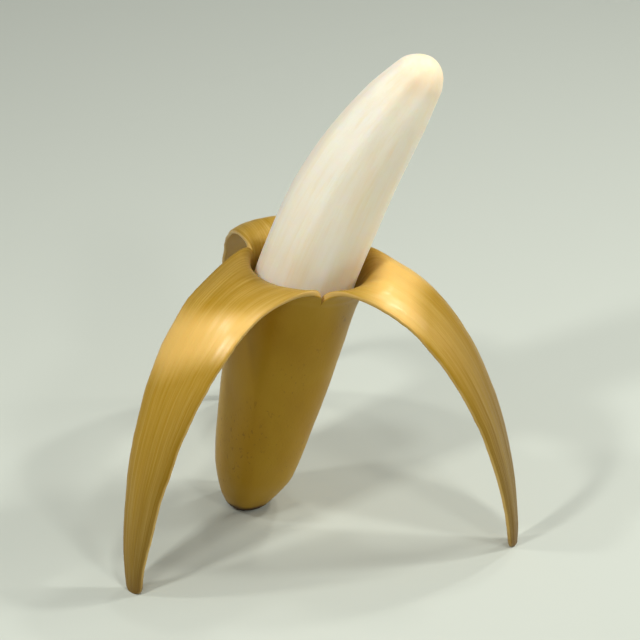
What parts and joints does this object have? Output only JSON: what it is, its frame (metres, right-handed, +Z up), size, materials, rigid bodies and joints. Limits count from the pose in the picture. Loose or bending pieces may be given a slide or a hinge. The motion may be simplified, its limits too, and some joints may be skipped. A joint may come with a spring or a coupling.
{
  "type": "peeled banana",
  "caption": "A banana peeled open: its skin is torn into strips that arch over and reach the ground, and the bare curved flesh stands up from the cup of skin left around its lower half.",
  "frame": {"origin": "middle of the small flat blossom end that the banana stands on, on the ground", "axes": "+Z up; the fruit leans over towards +X, and one strip of skin reaches towards +X, one towards +Y and one between -X and -Y"},
  "size_m": [0.1252, 0.1241, 0.1613],
  "materials": {
    "banana_skin": "satin, golden yellow skin with fine fibres along it",
    "banana_flesh": "soft, slightly moist cream flesh"
  },
  "bodies": {
    "root": {"peel": "banana_skin", "flesh": "banana_flesh"}
  },
  "joints": []
}
